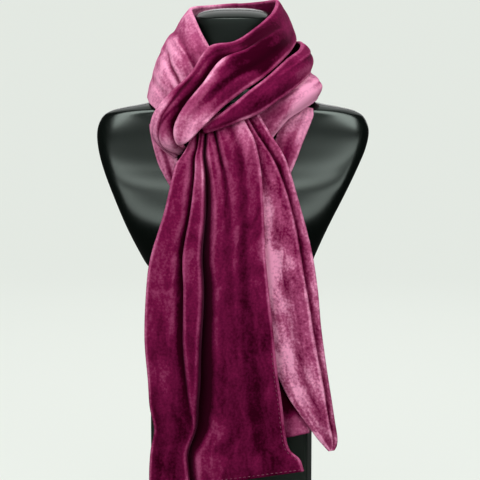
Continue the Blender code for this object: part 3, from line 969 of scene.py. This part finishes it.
# A softbox, in metres and watts. One that is a reflection shows only in gloss, and any other lights the
# surfaces and doesn't show in their gloss.
Lamp = namedtuple("Lamp", "name place aim width height power reflection", defaults=(False,))
LAMPS = table(Lamp, (
    ("left_softbox", (-1.3, -1.73, 1.2), (0, 0, 0.45), 1.95, 1.5, 30),
    ("right_softbox", (1.3, -1.73, 1.2), (0, 0, 0.45), 1.95, 1.5, 30),
    ("high_softbox", (0, -1.2, 2.6), (0, 0, 0.5), 2.0, 0.8, 18),
    ("top_softbox", (0, 0.45, 2.2), (0, 0, 0.4), 2.4, 1.8, 22),
    ("rear_softbox", (0, 2.0, 1.6), (0, 0, 0.6), 1.6, 0.8, 18),
    ("low_reflection", (0, -1.8, 0.43), (0, 0, 0.43), 5.0, 0.42, 26, True),
    ("middle_reflection", (0, -1.8, 1.0), (0, 0, 0.52), 5.0, 0.22, 22, True),
    ("high_reflection", (0, -1.55, 2.3), (0, 0, 0.5), 4.6, 1.2, 135, True),
    ("rear_reflection", (0, 2.4, 1.25), (0, 0, 0.6), 4.0, 0.7, 11, True),
    ("top_reflection", (0, 0.9, 2.2), (0, 0.2, 0.4), 2.8, 2.2, 22, True),
))


def cyclorama_mesh():
    """A round floor that curves up into a wall all round."""
    turn = np.linspace(0, 2 * np.pi, 96, endpoint=False)
    profile = [(0.01, 0.0), (FLOOR_REACH, 0.0)]
    profile += [(WALL_REACH - BEND * (1 - math.sin(a)), BEND * (1 - math.cos(a)))
                for a in np.linspace(0, np.pi / 2, 17)]
    profile.append((WALL_REACH, WALL_HEIGHT))
    points = np.array([[(r * math.cos(a), r * math.sin(a), z) for a in turn] for r, z in profile])
    faces = ring_faces(len(profile), len(turn))[:, ::-1].tolist()
    mesh = bpy.data.meshes.new("cyclorama")
    mesh.from_pydata(points.reshape(-1, 3).tolist(), [], faces + [list(range(len(turn)))])
    mesh.shade_smooth()
    return mesh


def set_backdrop(scene, stage):
    """Puts the pale floor and wall round the bust, where no gloss and no bounce of light shows them."""
    shader = Shader("backdrop")
    shader.set(base_color=[stage.lit * part for part in stage.backdrop], roughness=0.9,
               emission_color=list(stage.backdrop), emission_strength=stage.glow)
    mesh = cyclorama_mesh()
    mesh.materials.append(shader.material)
    sheet = bpy.data.objects.new("cyclorama", mesh)
    scene.collection.objects.link(sheet)
    sheet.visible_glossy = False
    sheet.visible_diffuse = False


def hang_lamp(scene, lamp):
    """Hangs one softbox and turns it to its aim."""
    data = bpy.data.lights.new(lamp.name, "AREA")
    data.shape = "RECTANGLE"
    data.size = lamp.width
    data.size_y = lamp.height
    data.energy = lamp.power
    light = bpy.data.objects.new(lamp.name, data)
    light.location = lamp.place
    aim = Vector(lamp.aim) - Vector(lamp.place)
    light.rotation_euler = aim.to_track_quat("-Z", "Y").to_euler()
    light.visible_camera = False
    light.visible_glossy = lamp.reflection
    light.visible_diffuse = not lamp.reflection
    scene.collection.objects.link(light)


def set_world(scene, stage):
    """Adds a little even light from all round."""
    world = bpy.data.worlds.new("studio")
    world.use_nodes = True
    background = world.node_tree.nodes["Background"]
    background.inputs["Color"].default_value = (0.95, 1.0, 0.96, 1)
    background.inputs["Strength"].default_value = stage.world
    scene.world = world


def set_camera(scene, stage):
    """Sets the camera at the photograph's viewing angle."""
    data = bpy.data.cameras.new("camera")
    data.lens = stage.lens
    camera = bpy.data.objects.new("camera", data)
    turn, rise = stage.azimuth, stage.elevation
    ahead = Vector((-math.sin(turn) * math.cos(rise), math.cos(turn) * math.cos(rise), -math.sin(rise)))
    camera.location = Vector(AIM) - ahead * stage.distance
    camera.rotation_euler = ahead.to_track_quat("-Z", "Y").to_euler()
    scene.collection.objects.link(camera)
    scene.camera = camera
    scene.view_settings.view_transform = "Standard"


class SCARF_OT_stage(bpy.types.Operator):
    """Set up the pale stage, its soft lights and the camera"""
    bl_idname = "scarf.stage"
    bl_label = "Stage"

    def execute(self, context):
        stage = context.scene.scarf_stage
        set_backdrop(context.scene, stage)
        for lamp in LAMPS:
            hang_lamp(context.scene, lamp)
        set_world(context.scene, stage)
        set_camera(context.scene, stage)
        return {"FINISHED"}


class SCARF_OT_bust(bpy.types.Operator):
    """Make the display bust and finish the column"""
    bl_idname = "scarf.bust"
    bl_label = "Bust and column"

    def execute(self, context):
        bust = context.scene.scarf_bust
        mesh = bust_mesh(bust)
        mesh.materials.append(satin_black("bust_black", bust.color, bust.roughness))
        # Painted shade: a dull copy of the bust's black on the neck, standing in for the collar's shade
        mesh.materials.append(satin_black("neck_shaded_black", bust.color, roughness=0.5, gloss=0.1))
        for face in mesh.polygons:
            face.material_index = int(SHADED_NECK[0] < face.center.z < SHADED_NECK[1])
        show(context, mesh, "bust_black", "display_bust")
        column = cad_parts["column"]
        column.data.materials.clear()
        column.data.materials.append(satin_black("column_black", bust.column, bust.roughness + 0.1))
        return {"FINISHED"}


class SCARF_OT_wraps(bpy.types.Operator):
    """Drape the stretches of the scarf that go round the neck"""
    bl_idname = "scarf.wraps"
    bl_label = "Neck wraps"

    def execute(self, context):
        cloth = context.scene.scarf_cloth
        shapes = {stretch.node: surface(stretch, cloth) for stretch in NECK_STRETCHES}
        meet_at_back(shapes)
        for stretch in NECK_STRETCHES:
            drape(context, stretch, shapes[stretch.node], cloth_material(cloth))
        return {"FINISHED"}


class SCARF_OT_stitches(bpy.types.Operator):
    """Sew the hand stitches that close the front tail's side and hem"""
    bl_idname = "scarf.stitches"
    bl_label = "Hem stitches"

    def execute(self, context):
        cloth = context.scene.scarf_cloth
        points = surface(FRONT_TAIL, cloth)[0]
        rows, columns = len(points), front_columns(points)
        side = points[int(SIDE_SEAM[0] * rows):int(SIDE_SEAM[1] * rows), columns - 1 - SEAM_INSET]
        hem = points[rows - 1 - SEAM_INSET, SEAM_INSET:columns - SEAM_INSET]
        thread = bpy.data.materials.get("thread") or silk_thread(cloth)
        for name, path in zip(STITCHES, (side, hem)):
            mesh = stitches(context, name, path - (0, cloth.thread_radius, 0), cloth, thread)
            show(context, mesh, "velvet")
        return {"FINISHED"}


class SCARF_OT_tails(bpy.types.Operator):
    """Hang the tails"""
    bl_idname = "scarf.tails"
    bl_label = "Tails"

    def execute(self, context):
        cloth = context.scene.scarf_cloth
        sewn = [name for name in STITCHES if name in bpy.data.objects]
        for stretch in TAIL_STRETCHES:
            drape(context, stretch, surface(stretch, cloth), cloth_material(cloth))
        return {"FINISHED"}


class SCARF_PT_panel(bpy.types.Panel):
    """Steps and settings, in the order they run"""
    bl_idname = "SCARF_PT_panel"
    bl_label = "Velvet scarf"
    bl_space_type = "VIEW_3D"
    bl_region_type = "UI"
    bl_category = "Scarf"

    def draw(self, context):
        for operator in OPERATORS:
            self.layout.operator(operator.bl_idname)
        for settings in (context.scene.scarf_cloth, context.scene.scarf_bust, context.scene.scarf_stage):
            column = self.layout.column()
            for name in settings.__annotations__:
                column.prop(settings, name)


OPERATORS = (SCARF_OT_bust, SCARF_OT_wraps, SCARF_OT_stitches, SCARF_OT_tails, SCARF_OT_stage)
CLASSES = (ClothSettings, BustSettings, StageSettings, *OPERATORS, SCARF_PT_panel)


def register():
    for each in CLASSES:
        bpy.utils.register_class(each)
    bpy.types.Scene.scarf_cloth = bpy.props.PointerProperty(type=ClothSettings)
    bpy.types.Scene.scarf_bust = bpy.props.PointerProperty(type=BustSettings)
    bpy.types.Scene.scarf_stage = bpy.props.PointerProperty(type=StageSettings)


def unregister():
    del bpy.types.Scene.scarf_stage, bpy.types.Scene.scarf_bust, bpy.types.Scene.scarf_cloth
    for each in reversed(CLASSES):
        bpy.utils.unregister_class(each)


def main():
    register()
    bpy.ops.scarf.bust()
    bpy.ops.scarf.wraps()
    bpy.ops.scarf.stitches()
    bpy.ops.scarf.tails()
    bpy.ops.scarf.stage()


if __name__ == "__main__":
    main()
